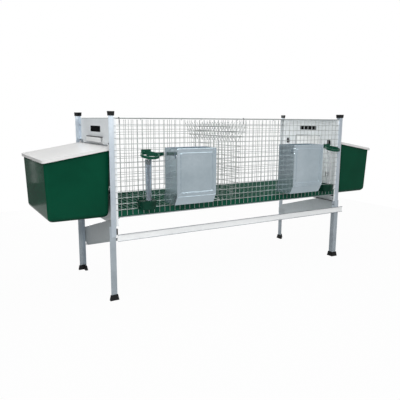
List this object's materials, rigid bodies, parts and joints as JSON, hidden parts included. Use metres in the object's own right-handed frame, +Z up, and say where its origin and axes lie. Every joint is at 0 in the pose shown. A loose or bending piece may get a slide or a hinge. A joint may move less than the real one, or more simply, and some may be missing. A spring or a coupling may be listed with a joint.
{
  "type": "rabbit cage",
  "caption": "Wire mesh breeding cage on angle legs, split by a hay rack, with plastic nest tubs at the ends, hopper feeders, bottle drinkers, slatted floor and a sloping dung tray.",
  "frame": {"origin": "on the floor, at the middle of the whole outline", "axes": "+X along the front from the left end to the right end, +Y from the front to the rear, +Z up"},
  "size_m": [1.9792, 0.6592, 0.85],
  "materials": {
    "galvanised_angle": "galvanised",
    "galvanised_sheet": "galvanised",
    "bright_sheet": "satin",
    "galvanised_wire": "galvanised",
    "zinc_bolts": "zinc plated",
    "green_plastic": "smooth moulded",
    "clear_plastic": "translucent",
    "black_plastic": "moulded"
  },
  "bodies": {
    "cage": {"post_front_left": "galvanised_angle", "post_front_right": "galvanised_angle", "post_rear_left": "galvanised_angle", "post_rear_right": "galvanised_angle", "leg_front_left": "galvanised_angle", "leg_front_right": "galvanised_angle", "leg_rear_left": "galvanised_angle", "leg_rear_right": "galvanised_angle", "post_caps": "black_plastic", "post_feet": "black_plastic", "rail_shoes": "black_plastic", "nest_hooks_left": "black_plastic", "nest_hooks_right": "black_plastic", "tray_catch": "black_plastic", "vent_plugs_left": "black_plastic", "vent_plugs_right": "black_plastic", "post_bolts": "zinc_bolts", "front_mesh": "galvanised_wire", "rear_mesh": "galvanised_wire", "divider_mesh": "galvanised_wire", "hay_rack_left": "galvanised_wire", "hay_rack_right": "galvanised_wire", "roof_hinge_rings": "galvanised_wire", "floor_left": "green_plastic", "floor_right": "green_plastic", "bottle_ring_left": "green_plastic", "bottle_ring_right": "green_plastic", "drinker_cup_left": "green_plastic", "drinker_cup_right": "green_plastic", "nest_tub_left": "green_plastic", "nest_tub_right": "green_plastic", "drinker_tube_left": "clear_plastic", "drinker_tube_right": "clear_plastic", "end_panel_left": "galvanised_sheet", "end_panel_right": "galvanised_sheet", "door_guides_left": "galvanised_sheet", "door_guides_right": "galvanised_sheet", "nest_hinges_left": "galvanised_sheet", "nest_hinges_right": "galvanised_sheet", "chute_cheek_left": "galvanised_sheet", "chute_cheek_right": "galvanised_sheet", "chute_straps": "galvanised_sheet", "floor_rail_front": "galvanised_sheet", "floor_rail_rear": "galvanised_sheet"},
    "dung_tray": {"dung_tray": "bright_sheet"},
    "nest_lid_left": {"nest_lid_left": "bright_sheet"},
    "nest_door_left": {"nest_door_left": "galvanised_sheet", "door_grip_left": "black_plastic"},
    "roof_lid_left": {"roof_lid_left": "galvanised_wire"},
    "roof_latch_left": {"roof_latch_left": "galvanised_wire"},
    "feeder_left": {"feeder_left": "galvanised_sheet"},
    "nest_lid_right": {"nest_lid_right": "bright_sheet"},
    "nest_door_right": {"nest_door_right": "galvanised_sheet", "door_grip_right": "black_plastic"},
    "roof_lid_right": {"roof_lid_right": "galvanised_wire"},
    "roof_latch_right": {"roof_latch_right": "galvanised_wire"},
    "feeder_right": {"feeder_right": "galvanised_sheet"}
  },
  "joints": [
    {"name": "tray_slide", "type": "slide", "parent": "cage", "child": "dung_tray", "axis": [0, -0.9613, 0.2756], "range_m": [0, 0.45]},
    {"name": "nest_lid_left_hinge", "type": "hinge", "parent": "cage", "child": "nest_lid_left", "pos_m": [-0.695, 0.0466, 0.7011], "axis": [0, 1, 0], "range_deg": [0, 80]},
    {"name": "nest_door_left_slide", "type": "slide", "parent": "cage", "child": "nest_door_left", "axis": [0, 0, 1], "range_m": [0, 0.2]},
    {"name": "roof_lid_left_hinge", "type": "hinge", "parent": "cage", "child": "roof_lid_left", "pos_m": [-0.343, 0.3006, 0.822], "axis": [-1, 0, 0], "range_deg": [0, 100]},
    {"name": "roof_latch_left_swing", "type": "hinge", "parent": "roof_lid_left", "child": "roof_latch_left", "pos_m": [-0.666, -0.2074, 0.822], "axis": [-1, 0, 0], "range_deg": [0, 90]},
    {"name": "feeder_left_lift", "type": "slide", "parent": "cage", "child": "feeder_left", "axis": [0, 0, 1], "range_m": [0, 0.02]},
    {"name": "nest_lid_right_hinge", "type": "hinge", "parent": "cage", "child": "nest_lid_right", "pos_m": [0.695, 0.0466, 0.7011], "axis": [0, -1, 0], "range_deg": [0, 80]},
    {"name": "nest_door_right_slide", "type": "slide", "parent": "cage", "child": "nest_door_right", "axis": [0, 0, 1], "range_m": [0, 0.2]},
    {"name": "roof_lid_right_hinge", "type": "hinge", "parent": "cage", "child": "roof_lid_right", "pos_m": [0.343, 0.3006, 0.822], "axis": [-1, 0, 0], "range_deg": [0, 100]},
    {"name": "roof_latch_right_swing", "type": "hinge", "parent": "roof_lid_right", "child": "roof_latch_right", "pos_m": [-0.002, -0.2074, 0.822], "axis": [-1, 0, 0], "range_deg": [0, 90]},
    {"name": "feeder_right_lift", "type": "slide", "parent": "cage", "child": "feeder_right", "axis": [0, 0, 1], "range_m": [0, 0.02]}
  ]
}
